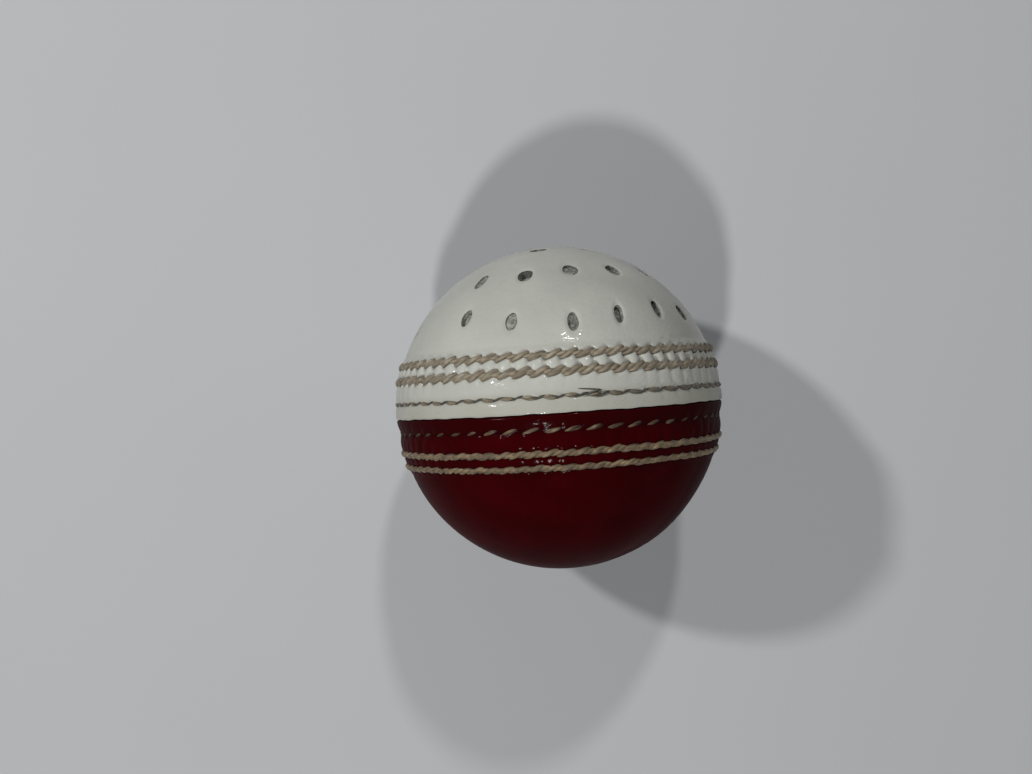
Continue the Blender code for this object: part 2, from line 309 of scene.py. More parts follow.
# loose ends of thread: middle and half length in degrees, height above the row, and how far they lift off
tails = ({"lon": 9.3, "half": 5.0, "height": 0.98, "rise": -0.45, "thick": 0.13, "lift": 0.14},
         {"lon": 10.6, "half": 3.2, "height": 0.25, "rise": 0.8, "thick": 0.20, "lift": 0.28},
         {"lon": 13.2, "half": 2.8, "height": -0.15, "rise": 0.5, "thick": 0.15, "lift": 0.34})

# share: length over step; rise: slant; proud: how high the middle lies; point: how far the ends draw in
# each row's table by degrees round the ball is painted shade towards the sides; the white closing row's under
# thread is painted dark as shade in its slits
rows = {
    "whiteEdge": {"node": "white_edge_thread", "count": 68, "phase": 4.4, "share": 1.40, "rise": 1.20,
                  "thick": 0.52, "proud": 0.22, "point": 0.45, "dip": 0.45, "bed": 0.42, "pit": 0.25,
                  "seed": 11, "sideShade": tanSideShade, "under": {"thick": 0.46, "rise": 0.55, "sink": 0.22},
                  "material": tanThread, "slot": "tan_thread"},
    "whiteMiddle": {"node": "white_middle_thread", "count": 68, "phase": 5.27, "share": 1.40, "rise": 1.25,
                    "thick": 0.56, "proud": 0.24, "point": 0.45, "dip": 0.45, "bed": 0.42, "pit": 0.25,
                    "seed": 12, "sideShade": tanSideShade, "under": {"thick": 0.49, "rise": 0.60, "sink": 0.22},
                    "material": tanThread, "slot": "tan_thread"},
    "whiteClosing": {"node": "white_closing_thread", "count": 54, "phase": 4.28, "share": 0.86, "rise": -0.20,
                     "thick": 0.39, "proud": 0.04, "point": 0.64, "dip": 0.32, "bed": 0.24, "pit": 0.20,
                     "seed": 13, "under": {"thick": 0.16, "rise": 0.95, "sink": 0.0, "shadeAndSoil": 1.0},
                     "sideShade": ((-180, 0.4), (-60, 0.5), (-30, 0.2), (-18, 0.0), (12, 0.0), (20, 0.6),
                                (50, 0.7), (180, 0.4)),
                     "tails": tails,
                     "material": greyThread, "slot": "tan_thread"},
    "redClosing": {"node": "red_closing_thread", "count": 54, "phase": 4.35, "share": 0.90, "rise": 0.75,
                   "thick": 0.44, "proud": -0.36, "point": 0.45, "dip": 0.26, "bed": 0.14, "pit": 0.08,
                   "seed": 14,
                   "sunk": ((-180, 0.15), (-50, 0.20), (-30, 0.12), (-16, 0.0), (12, 0.0), (28, 0.12),
                            (48, 0.20), (65, 0.23), (180, 0.15)),
                   "sideShade": ((-180, 0.7), (-40, 0.8), (-25, 0.5), (-14, 0.0), (14, 0.0), (28, 0.5),
                              (45, 0.8), (180, 0.7)),
                   "material": dullThread, "slot": "pale_thread"},
    "redMiddle": {"node": "red_middle_thread", "count": 70, "phase": 1.22, "share": 1.45, "rise": 0.80,
                  "thick": 0.58, "proud": 0.20, "point": 0.45, "dip": 0.42, "bed": 0.40, "pit": 0.20,
                  "seed": 15, "under": {"thick": 0.53, "rise": 0.55, "sink": 0.14},
                  "material": paleThread, "slot": "pale_thread"},
    "redEdge": {"node": "red_edge_thread", "count": 70, "phase": 1.85, "share": 1.45, "rise": 0.80,
                "thick": 0.53, "proud": 0.16, "point": 0.45, "dip": 0.42, "bed": 0.40, "pit": 0.20,
                "seed": 16, "under": {"thick": 0.51, "rise": 0.52, "sink": 0.14},
                "material": paleThread, "slot": "pale_thread"},
}
hand = {"along": 0.05, "across": 0.06, "rise": 0.12, "thick": 0.07}  # how far one stitch strays from the next


def sewRow(row):  # the place, slant and thickness of each stitch, each under stitch and each loose end, and how dark it is painted: painted shade on the stitches, dark loose ends
    dice = random.Random(row["seed"])
    height = rowHeight(row["node"])
    step = 2 * math.pi / row["count"]
    noChange = ((0, 0),)
    stitches = []
    for i in range(row["count"]):
        lon = math.radians(row["phase"]) + step * (i + dice.uniform(-1, 1) * hand["along"])
        degrees = (math.degrees(lon) + 180) % 360 - 180
        stitches.append({
            "lon": lon, "half": step * row["share"] / 2, "reach": step * min(row["share"], 1.0) / 2,
            "height": height + dice.uniform(-1, 1) * hand["across"] * mm,
            "rise": row["rise"] * mm * (1 + dice.uniform(-1, 1) * hand["rise"]),
            "thick": row["thick"] * mm * (1 + dice.uniform(-1, 1) * hand["thick"]),
            "roll": dice.uniform(0, 2 * math.pi),
            "sink": np.interp(degrees, *zip(*row.get("sunk", noChange))) * mm,
            # painted shade, darker towards the ball's sides
            "shadeAndSoil": np.interp(degrees, *zip(*row.get("sideShade", noChange))),
        })
    row["height"] = height
    row["step"] = step
    row["stitches"] = stitches
    row["below"] = []  # the second thread of the row, lying lower between the stitches of the first
    if "under" in row:
        under = row["under"]
        row["below"] = [dict(s, lon=s["lon"] + step / 2, rise=under["rise"] * mm, sink=under["sink"] * mm,
                             thick=under["thick"] * mm, shadeAndSoil=under.get("shadeAndSoil", s["shadeAndSoil"])) for s in stitches]
    row["tails"] = [{"lon": math.radians(tail["lon"]), "half": math.radians(tail["half"]),
                     "height": height + tail["height"] * mm, "rise": tail["rise"] * mm,
                     "thick": tail["thick"] * mm, "roll": 0.0, "shadeAndSoil": 1.0, "sink": -tail["lift"] * mm}
                    for tail in row.get("tails", ())]


for row in rows.values():
    sewRow(row)


# leather halves: sizes in mm

# along the join each half is darker as a dark joint, the red side also as painted shade under the white lip;
# along the red closing row the darkening is painted shade
seam = {
    "white": {"sign": 1, "rise": 0.50, "shoulder": (10.8, 13.2), "lip": 0.30, "lipDrop": 0.15, "groove": 0.10,
              "joinDarkening": 0.3, "rowShade": 0.0, "tuck": 0.26,
              "tight": ((-180, 0.16), (-100, 0.18), (-65, 0.10), (-35, 0.03), (25, 0.03), (45, 0.16),
                        (80, 0.21), (180, 0.16)),
              "rows": ("whiteEdge", "whiteMiddle", "whiteClosing")},
    "red": {"sign": -1, "rise": 0.38, "shoulder": (10.6, 12.8), "lip": 0.60, "lipDrop": 0.45, "groove": 0.45,
            "joinDarkening": 0.8, "rowShade": 0.9, "tuck": 0.06, "tight": ((-180, 0.12), (180, 0.12)),
            "rows": ("redEdge", "redMiddle", "redClosing")},
}
pull = {"bedWide": 0.58, "bedShare": 0.8, "pitWide": 0.40, "tuckWide": 0.60, "grooveWide": 1.6}

# how far the folds between two lines run, as a share of the way, and how slack they are beside the join
folds = {"pair": 0.3, "toClosing": 0.5, "fromClosing": 0.3, "toJoin": 0.45, "slack": 0.5}
unevenness = {"waves": 14, "turns": (1, 13), "slant": (0.05, 0.4), "start": 6.3, "fade": (0.1, 0.6),
              "high": 0.10, "seeds": {"white": 21, "red": 22}}
leatherMesh = {"columns": 640, "seamStep": 0.26, "capStep": 0.9, "holeStep": 0.45, "holeReach": 3.2,
               "pastShoulder": 0.6, "joinGap": 0.04, "overLining": 0.3, "innerRows": 8, "skin": 1.2,
               "rim": 0.5, "creaseDegrees": 50.0}
weldDistance = 0.001 * mm

# how far the hand-sewn lines lie from the frame's, in mm: (height, shift)
drift = ((-16.0, 0.0), (-10.6, -0.19), (-7.5, -0.47), (-3.0, -0.46), (0.0, -0.34), (3.0, -0.23), (7.5, 0.04),
         (10.6, 0.27), (16.0, 0.0))

# the join isn't cut dead straight: waves round the ball, and their height and reach in mm
join = {"turns": (7, 17, 31, 53), "waver": 0.035, "wide": 1.4}

# punched holes, each as latitude, longitude, depth to the felt in mm, lean and how far it is stretched open
holes = {
    "punch": 3.7, "narrow": 2.4, "lengthen": 0.65, "dimple": 0.20, "dimpleWide": 0.40, "sides": 36,
    "ragged": 0.022, "seat": 1.7, "depth": 5.0, "sameSide": 0.9, "floor": 0.8, "lean": 8.0, "seed": 5,
    "stray": (0.8, 1.0), "floorSpread": (0.6, 1.5), "longSpread": (0.94, 1.06), "wideSpread": (0.92, 1.08),
    "rings": (
        {"latitude": 30.8, "count": 19, "seen": (
            (31.0, -74.0, 0.4, 0.0, 0.8), (33.3, -35.4, 1.2, 0.0, 1.0), (30.3, -15.2, 0.5, 0.0, 1.15),
            (28.7, 7.3, 0.8, 0.0, 1.0), (30.8, 25.4, 1.4, 12.0, 0.75), (32.6, 45.1, 1.5, 12.0, 0.9),
            (31.3, 63.3, 1.0, 0.0, 1.1))},
        {"latitude": 51.4, "count": 15, "seen": (
            (51.5, -84.0, 0.4, 0.0, 0.8), (50.5, -38.9, 0.4, 0.0, 0.75), (50.8, -12.7, 1.9, 0.0, 1.0),
            (52.5, 11.3, 0.7, 0.0, 1.0), (52.0, 36.8, 1.1, 0.0, 1.0), (51.8, 66.9, 0.4, 0.0, 1.0))},
        {"latitude": 72.5, "count": 6, "seen": ((74.3, -12.6, 1.1, 0.0, 1.0), (71.9, 49.9, 0.4, 0.0, 1.0))},
        {"latitude": 90.0, "count": 1, "seen": ((90.0, 0.0, 0.8, 0.0, 1.0),)},
    ),
}


def smooth(value, low, high):
    t = np.clip((value - low) / (high - low), 0.0, 1.0)
    return t * t * (3 - 2 * t)


def bandRise(side, height):  # how far the leather stands above the plain ball at this height, in mm
    spec = seam[side]
    away = np.abs(height) / mm
    raised = spec["rise"] * (1 - smooth(away, *spec["shoulder"]))
    lip = np.clip(1 - away / spec["lip"], 0.0, 1.0)
    return raised - spec["lipDrop"] * lip * lip


def nearLine(x, y, x0, y0, x1, y1):  # distance to a short line, everything in mm
    dx, dy = x1 - x0, y1 - y0
    t = np.clip(((x - x0) * dx + (y - y0) * dy) / (dx * dx + dy * dy), 0.0, 1.0)
    return np.hypot(x - x0 - t * dx, y - y0 - t * dy)


def aroundStitches(row, lon, height, measure):  # deepest measure over the three stitches next to each point
    best = np.zeros_like(lon)
    girth = math.sqrt(ballRadius ** 2 - row["height"] ** 2) / mm
    table = {key: np.array([s[key] for s in row["stitches"]]) for key in ("lon", "reach", "height", "rise")}
    first = np.round((lon - math.radians(row["phase"])) / row["step"]).astype(int)
    for shift in (-1, 0, 1):
        pick = (first + shift) % row["count"]
        away = lon - table["lon"][pick]
        away = (away + math.pi) % (2 * math.pi) - math.pi
        x = away * girth
        y = (height - table["height"][pick]) / mm
        halfLong = table["reach"][pick] * girth
        halfRise = table["rise"][pick] / 2 / mm
        best = np.maximum(best, measure(x, y, halfLong, halfRise))
    return best


def stitchPull(row, lon, height):  # bed under each stitch, and a pit at each needle hole
    def measure(x, y, halfLong, halfRise):
        bedLong, bedRise = halfLong * pull["bedShare"], halfRise * pull["bedShare"]
        off = nearLine(x, y, -bedLong, -bedRise, bedLong, bedRise)
        pits = [np.exp(-(np.hypot(x - end * halfLong, y - end * halfRise) / pull["pitWide"]) ** 2)
                for end in (-1, 1)]
        return row["bed"] * np.exp(-(off / pull["bedWide"]) ** 2) + row["pit"] * np.maximum(*pits)
    return aroundStitches(row, lon, height, measure)


def tucks(row, lon, height, end, reach, depth):  # folds drawn from the needle holes across the leather
    def measure(x, y, halfLong, halfRise):
        away = nearLine(x, y, end * halfLong, end * halfRise, end * halfLong, end * halfRise + reach)
        return depth * np.exp(-(away / pull["tuckWide"]) ** 2)
    return aroundStitches(row, lon, height, measure)


def seamRelief(side, lon, height):  # all the pulls on one half, in mm below the band
    edge, middle, closing = (rows[name] for name in seam[side]["rows"])
    sign = seam[side]["sign"]
    deep = sum(stitchPull(row, lon, height) for row in (edge, middle, closing))
    between = (edge["height"] - middle["height"]) / mm
    tuck = seam[side]["tuck"]
    deep = deep + tucks(edge, lon, height, -sign, -between * folds["pair"], tuck)
    deep = deep + tucks(middle, lon, height, sign, between * folds["pair"], tuck)
    toClosing = (middle["height"] - closing["height"]) / mm
    toJoin = closing["height"] / mm
    tight = np.interp(np.degrees(lon), *zip(*seam[side]["tight"]))
    slack = tight * folds["slack"]
    deep = deep + tucks(middle, lon, height, -sign, -toClosing * folds["toClosing"], tight)
    deep = deep + tucks(closing, lon, height, sign, toClosing * folds["fromClosing"], slack)
    deep = deep + tucks(closing, lon, height, -sign, -toJoin * folds["toJoin"], slack)
    groove = np.exp(-((height - closing["height"]) / mm / pull["grooveWide"]) ** 2)
    return deep + seam[side]["groove"] * groove


def handSwell(side, lon, height):  # slow unevenness of hand-pressed leather, in mm
    dice = random.Random(unevenness["seeds"][side])
    total = np.zeros_like(lon)
    up = height / mm
    for i in range(unevenness["waves"]):
        turns = dice.randint(*unevenness["turns"])
        share = math.sin(i + 1.0) / (2 + turns * 0.5)  # mixed signs, and a wave of many turns is lower
        slant = dice.uniform(*unevenness["slant"])
        total += share * np.sin(turns * lon + up * slant + dice.uniform(0, unevenness["start"]))
    fromPole = np.sqrt(np.clip(1 - (height / ballRadius) ** 2, 0.0, 1.0))
    return total * unevenness["high"] * smooth(fromPole, *unevenness["fade"])


def strayed(points):  # moves sewn lines along the ball to where the hand put them
    radius = np.linalg.norm(points, axis=1)
    places, shifts = np.array(drift).T * mm
    lon = np.arctan2(points[:, 0], points[:, 2])
    waver = sum(np.sin(turns * lon + turns) for turns in join["turns"])
    waver *= join["waver"] * mm * np.exp(-(points[:, 1] / mm / join["wide"]) ** 2)
    height = points[:, 1] + np.interp(points[:, 1], places, shifts) + waver
    height = np.clip(height, -radius, radius)
    before = np.hypot(points[:, 0], points[:, 2])
    after = np.sqrt(radius ** 2 - height ** 2)
    nearAxis = 0.1 * mm
    grow = np.where(before > nearAxis, after / np.maximum(before, nearAxis), 1.0)
    return np.stack([points[:, 0] * grow, height, points[:, 2] * grow], axis=1)


def holeSpots():  # the turn from the pole to each hole, its half length and width, and the felt's depth
    dice = random.Random(holes["seed"])
    strayLatitude, strayLongitude = holes["stray"]
    spots = []
    for ring in holes["rings"]:
        places = list(ring["seen"])
        rest = ring["count"] - len(places)
        last = places[-1][1]
        step = (360.0 - last + places[0][1]) / (rest + 1)
        for i in range(rest):
            places.append((ring["latitude"] + dice.uniform(-strayLatitude, strayLatitude),
                           last + step * (i + 1) + dice.uniform(-strayLongitude, strayLongitude),
                           holes["floor"] * dice.uniform(*holes["floorSpread"]),
                           holes["lean"] * dice.uniform(-1, 1), 1.0))
        for latitude, longitude, floor, lean, opened in places:
            fromPole = math.radians(90.0 - latitude)
            draw = math.sin(fromPole) / fromPole if fromPole else 1.0
            longer = dice.uniform(*holes["longSpread"])
            wider = dice.uniform(*holes["wideSpread"])
            spots.append({
                "turn": Matrix.Rotation(math.radians(longitude), 3, "Y") @ Matrix.Rotation(fromPole, 3, "X"),
                "long": holes["punch"] * draw ** -holes["lengthen"] / 2 * longer / math.sqrt(opened),
                "wide": holes["punch"] * draw ** holes["narrow"] / 2 * wider * opened,
                "lean": math.radians(lean),
                "waves": [dice.uniform(0, 2 * math.pi) for _ in range(3)],
                "floor": floor,
            })
    return spots


def spun(name, outline, steps):  # an outline of (height, distance from the axis) turned once round the axis
    bm = bmesh.new()
    verts = [bm.verts.new((0.0, height, out)) for height, out in outline]
    for a, b in zip(verts, verts[1:]):
        bm.edges.new((a, b))
    mesh = bpy.data.meshes.new(name)
    bm.to_mesh(mesh)
    blank = bpy.data.objects.new("blank", mesh)
    bpy.context.scene.collection.objects.link(blank)
    turn = blank.modifiers.new("turn", "SCREW")
    turn.axis = "Y"
    turn.steps = turn.render_steps = steps
    turn.use_merge_vertices = True
    turn.merge_threshold = weldDistance
    bpy.context.view_layer.update()
    made = bpy.data.meshes.new_from_object(blank.evaluated_get(bpy.context.evaluated_depsgraph_get()))
    bm.clear()
    bm.from_mesh(made)
    bmesh.ops.remove_doubles(bm, verts=bm.verts[:], dist=weldDistance)
    bmesh.ops.recalc_face_normals(bm, faces=bm.faces[:])
    bm.to_mesh(made)
    bm.free()
    bpy.data.objects.remove(blank)
    bpy.data.meshes.remove(mesh)
    return made


def turnedHalf(side):  # one half from its pole to the join and back inside
    spec = seam[side]
    radiusMm = ballRadius / mm
    ringArcs = []
    if side == "white":
        ringArcs = [math.radians(ring["latitude"]) * radiusMm for ring in holes["rings"]]
    heights = []
    seamTop = spec["shoulder"][1] + leatherMesh["pastShoulder"]
    joinGap = leatherMesh["joinGap"] * mm
    arc = math.pi / 2 * radiusMm
    while arc > math.asin(seamTop / radiusMm) * radiusMm:
        heights.append(ballRadius * math.sin(arc / radiusMm))
        close = any(abs(arc - ringArc) < leatherMesh["holeReach"] for ringArc in ringArcs)
        arc -= leatherMesh["holeStep"] if close else leatherMesh["capStep"]
    count = round(seamTop / leatherMesh["seamStep"])
    heights += [seamTop * mm * (1 - i / count) + joinGap * i / count for i in range(count + 1)]
    outline = []
    for height in heights:
        radius = ballRadius + float(bandRise(side, np.array([height]))[0]) * mm
        outline.append((spec["sign"] * height, onBall(0.0, height, radius).z))
    outline[0] = (outline[0][0], 0.0)
    inner = liningRadius + leatherMesh["overLining"] * mm
    for i in range(leatherMesh["innerRows"] + 1):
        turn = math.pi / 2 * i / leatherMesh["innerRows"]
        height = max(inner * math.sin(turn), heights[-1])
        outline.append((spec["sign"] * height, onBall(0.0, height, inner).z))
    return spun(side + "Leather", outline, leatherMesh["columns"])


def meshPoints(mesh):
    flat = np.zeros(len(mesh.vertices) * 3)
    mesh.vertices.foreach_get("co", flat)
    return flat.reshape(-1, 3)


def pressLeather(mesh, side, spots):  # moves the outer face: seam pulls, swell and a dimple round each hole
    points = meshPoints(mesh)
    radius = np.linalg.norm(points, axis=1)
    outer = radius > ballRadius - leatherMesh["skin"] * mm
    lon = np.arctan2(points[:, 0], points[:, 2])
    height = points[:, 1]
    rim = smooth(np.abs(height) / mm, 0.0, leatherMesh["rim"])
    move = (handSwell(side, lon, height) - seamRelief(side, lon, height)) * rim
    for spot in spots:
        local = points @ np.array(spot["turn"])
        near = local[:, 1] > ballRadius * holes["sameSide"]
        turn = math.cos(spot["lean"]), math.sin(spot["lean"])
        east = (local[:, 0] * turn[0] + local[:, 2] * turn[1]) / mm
        south = (local[:, 2] * turn[0] - local[:, 0] * turn[1]) / mm
        away = np.hypot(east / spot["wide"], south / spot["long"])
        gap = np.clip(away - 1, 0, None) * (spot["wide"] + spot["long"]) / 2
        move -= np.where(near, holes["dimple"] * np.exp(-(gap / holes["dimpleWide"]) ** 2), 0.0)
    points[outer] *= (1 + move[outer] * mm / radius[outer])[:, None]
    mesh.vertices.foreach_set("co", points.ravel())
    mesh.update()


def punchHoles(piece, spots):
    bm = bmesh.new()
    for spot in spots:
        seat = (spot["turn"].to_4x4() @ Matrix.Translation((0, liningRadius + holes["seat"] * mm, 0))
                @ Matrix.Rotation(-spot["lean"], 4, "Y") @ Matrix.Rotation(math.pi / 2, 4, "X")
                @ Matrix.Diagonal((spot["wide"] * mm, spot["long"] * mm, 1, 1)))
        made = bmesh.ops.create_cone(bm, cap_ends=True, segments=holes["sides"], radius1=1.0, radius2=1.0,
                                     depth=holes["depth"] * mm)
        for vert in made["verts"]:
            around = math.atan2(vert.co.y, vert.co.x)
            waves = sum(math.sin((i + 2) * around + start) for i, start in enumerate(spot["waves"]))
            frayed = 1 + holes["ragged"] * waves
            vert.co.x *= frayed
            vert.co.y *= frayed
        bmesh.ops.transform(bm, matrix=seat, verts=made["verts"])
    bmesh.ops.recalc_face_normals(bm, faces=bm.faces[:])
    mesh = bpy.data.meshes.new("punches")
    bm.to_mesh(mesh)
    bm.free()
    mesh.materials.append(rawEdge)
    punches = bpy.data.objects.new("punches", mesh)
    bpy.context.scene.collection.objects.link(punches)
    cut = piece.modifiers.new("punch", "BOOLEAN")
    cut.operation = "DIFFERENCE"
    cut.object = punches
    cut.material_mode = "TRANSFER"
    bpy.context.view_layer.update()
    done = bpy.data.meshes.new_from_object(piece.evaluated_get(bpy.context.evaluated_depsgraph_get()))
    piece.modifiers.clear()
    old = piece.data
    piece.data = done
    bpy.data.meshes.remove(old)
    bpy.data.objects.remove(punches)


# dirt and painted shade on the leather: depths and widths in mm, amounts from 0 to 1
darkening = {"fullPull": 0.6, "joinWide": 0.35, "touched": 0.6, "touchedFade": (3.0, 5.0), "rowWide": 0.7,
        "cutDepth": 0.6, "cut": 0.8}


def paintGrimeAndShade(mesh, side):  # where the leather is darker: dirt and painted shade in the stitch beds and needle pits, a dark join with painted shade on its red side under the white lip, painted shade along the closing row's groove, dirt where fingers touch, and the cut faces
    points = meshPoints(mesh)
    lon = np.arctan2(points[:, 0], points[:, 2])
    height = points[:, 1]
    # painted shade and dirt, darker the deeper the stitch bed or needle pit
    beds = sum(stitchPull(rows[name], lon, height) for name in seam[side]["rows"]) / darkening["fullPull"]
    # darker along the join: a dark joint, with painted shade on the red side under the white lip
    atJoin = seam[side]["joinDarkening"] * np.exp(-(np.abs(height) / mm / darkening["joinWide"]) ** 2)
    touched = darkening["touched"] * (1 - smooth(np.abs(height) / mm, *darkening["touchedFade"]))
    # painted shade along the groove by the closing row
    closing = rows[seam[side]["rows"][2]]["height"]
    alongRow = seam[side]["rowShade"] * np.exp(-((height - closing) / mm / darkening["rowWide"]) ** 2)
    worst = np.maximum.reduce((beds, atJoin, touched, alongRow))
    cut = np.linalg.norm(points, axis=1) < ballRadius - darkening["cutDepth"] * mm
    darkened = np.where(cut, darkening["cut"], np.clip(worst, 0, 1))
    layer = mesh.attributes.new("grimeAndShade", "FLOAT", "POINT")
    layer.data.foreach_set("value", darkened.astype(np.float32))


def putPiece(name, mesh, material, replaced):
    piece = bpy.data.objects.new(name, mesh)
    bpy.context.scene.collection.objects.link(piece)
    mesh.materials.clear()
    mesh.materials.append(material)
    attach(piece, "root")
    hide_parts(replaced)
    return piece


def makeHalf(side, material, spots):
    mesh = turnedHalf(side)
    pressLeather(mesh, side, spots)
    piece = putPiece(side + "Leather", mesh, material, side + "_leather_half")
    if spots:
        punchHoles(piece, spots)
    mesh = piece.data
    paintGrimeAndShade(mesh, side)
    mesh.vertices.foreach_set("co", strayed(meshPoints(mesh)).ravel())
    mesh.update()
    mesh.shade_smooth()
    mesh.set_sharp_from_angle(angle=math.radians(leatherMesh["creaseDegrees"]))
    print(side, "leather:", len(mesh.polygons), "faces")
    return piece


spots = holeSpots()
makeHalf("white", whiteLeather, spots)
makeHalf("red", redLeather, [])


# thread: one straight plied stitch is turned first, and a copy is laid into each place of a row

stitchMesh = {"sides": 8, "rings": 7, "plies": 2, "lobe": 0.15, "turns": 0.4, "flat": 0.78, "set": 0.2}
taper = {"start": 1.7, "startPower": 1.5, "endPower": 3, "most": 0.9}  # fine start, blunt end
endAndTwistShade = {"startPower": 4, "endPower": 2, "twist": 5}  # how sharply painted shade and dirt grow towards either end, and how dark the twist between plies is painted


def straightStitch():
    bm = bmesh.new()
    sides, rings = stitchMesh["sides"], stitchMesh["rings"]
    across = Matrix.Rotation(math.pi / 2, 4, "Y")
    bmesh.ops.create_circle(bm, segments=sides, radius=1.0, matrix=across)
    layer = bm.loops.layers.uv.new("thread")
    edges = bm.edges[:]
    for i in range(rings):
        grown = bmesh.ops.extrude_edge_only(bm, edges=edges)["geom"]
        moved = [g for g in grown if isinstance(g, bmesh.types.BMVert)]
        edges = [g for g in grown if isinstance(g, bmesh.types.BMEdge) and all(v in moved for v in g.verts)]
        bmesh.ops.translate(bm, verts=moved, vec=(1 / rings, 0, 0))
    bmesh.ops.holes_fill(bm, edges=[e for e in bm.edges if e.is_boundary], sides=0)
    for vert in bm.verts:
        around = math.atan2(vert.co.z, vert.co.y) - 2 * math.pi * stitchMesh["turns"] * vert.co.x
        plied = 1 + stitchMesh["lobe"] * math.cos(stitchMesh["plies"] * around)
        vert.co.y *= plied
        vert.co.z *= plied
    for face in bm.faces:
        middle = math.atan2(sum(v.co.z for v in face.verts), sum(v.co.y for v in face.verts))
        for loop in face.loops:
            around = math.atan2(loop.vert.co.z, loop.vert.co.y)
            around += 2 * math.pi * round((middle - around) / (2 * math.pi))
            loop[layer].uv = (loop.vert.co.x, around / (2 * math.pi))
    bmesh.ops.recalc_face_normals(bm, faces=bm.faces[:])
    mesh = bpy.data.meshes.new("straightStitch")
    bm.to_mesh(mesh)
    bm.free()
    return mesh


def layStitch(verts, row, stitch, grimeAndShade):
    leatherRise = seam["white" if row["height"] > 0 else "red"]["rise"]
    top = ballRadius + (leatherRise - stitchMesh["set"] + row["proud"]) * mm
    nudge = 0.01  # either way along the stitch, for its direction

    def middle(s):
        turn = math.pi * row["share"] * (s - 0.5)  # a stitch goes over and down like a strand of rope
        return onBall(stitch["lon"] + (2 * s - 1) * stitch["half"],
                      stitch["height"] + math.sin(turn) * stitch["rise"] / 2,
                      top - stitch["sink"] - row["dip"] * mm * (1 - math.cos(turn)))

    cosRoll, sinRoll = math.cos(stitch["roll"]), math.sin(stitch["roll"])
    for vert in verts:
        s = vert.co.x
        heart = middle(s)
        forward = (middle(s + nudge) - middle(s - nudge)).normalized()
        out = (heart - forward * heart.dot(forward)).normalized()
        side = forward.cross(out)
        if s < 0.5:
            draw = taper["start"] * (1 - 2 * s) ** taper["startPower"]
            ends = (1 - 2 * s) ** endAndTwistShade["startPower"]
        else:
            draw = (2 * s - 1) ** taper["endPower"]
            ends = (2 * s - 1) ** endAndTwistShade["endPower"]
        full = stitch["thick"] * (1 - min(row["point"] * draw, taper["most"]))
        a = vert.co.y * cosRoll - vert.co.z * sinRoll
        b = vert.co.y * sinRoll + vert.co.z * cosRoll
        # painted shade: darker in the grooves between plies, towards the ends where the thread goes into the
        # leather, and by the row's table towards the ball's sides
        twist = max(0.0, 1 - math.hypot(vert.co.y, vert.co.z)) * endAndTwistShade["twist"]
        vert[grimeAndShade] = max(stitch["shadeAndSoil"], min(1.0, twist + ends * (1 + stitch["shadeAndSoil"])))
        vert.co = heart + (out * b * stitchMesh["flat"] + side * a) * full


def makeThread(name, row, straight):
    bm = bmesh.new()
    grimeAndShade = bm.verts.layers.float.new("grimeAndShade")
    for stitch in row["stitches"] + row["below"] + row["tails"]:
        before = len(bm.verts)
        bm.from_mesh(straight)
        bm.verts.ensure_lookup_table()
        layStitch(bm.verts[before:], row, stitch, grimeAndShade)
    bm.normal_update()  # or the next line goes by the straight stitch's normals and turns some inside out
    bmesh.ops.recalc_face_normals(bm, faces=bm.faces[:])
    mesh = bpy.data.meshes.new(name)
    bm.to_mesh(mesh)
    bm.free()
    mesh.vertices.foreach_set("co", strayed(meshPoints(mesh)).ravel())
    mesh.update()
    mesh.shade_smooth()
    return putPiece(name + "Thread", mesh, row["material"], row["node"])


straight = straightStitch()
for name, row in rows.items():
    makeThread(name, row, straight)
bpy.data.meshes.remove(straight)
print("threads sewn:", sum(row["count"] for row in rows.values()), "stitches")


# lining behind the holes: a felt cup, pressed up into each punched hole

liningMesh = {"thick": 0.8, "rows": 40, "columns": 128, "joinGap": 0.15}
plug = {"segments": 20, "rings": 12, "blunt": 0.12, "uneven": 0.05, "seed": 31, "sunk": 0.3, "wide": 1.3}


def feltPlug():  # a flat-topped round of felt with an uneven face, to be stretched into a hole
    bm = bmesh.new()
    bmesh.ops.create_uvsphere(bm, u_segments=plug["segments"], v_segments=plug["rings"], radius=1.0)
    dice = random.Random(plug["seed"])
    for vert in bm.verts:
        flat = math.copysign(abs(vert.co.z) ** plug["blunt"], vert.co.z)
        vert.co.z = flat * (1 + dice.uniform(-plug["uneven"], plug["uneven"]))
    mesh = bpy.data.meshes.new("feltPlug")
    bm.to_mesh(mesh)
    bm.free()
    return mesh


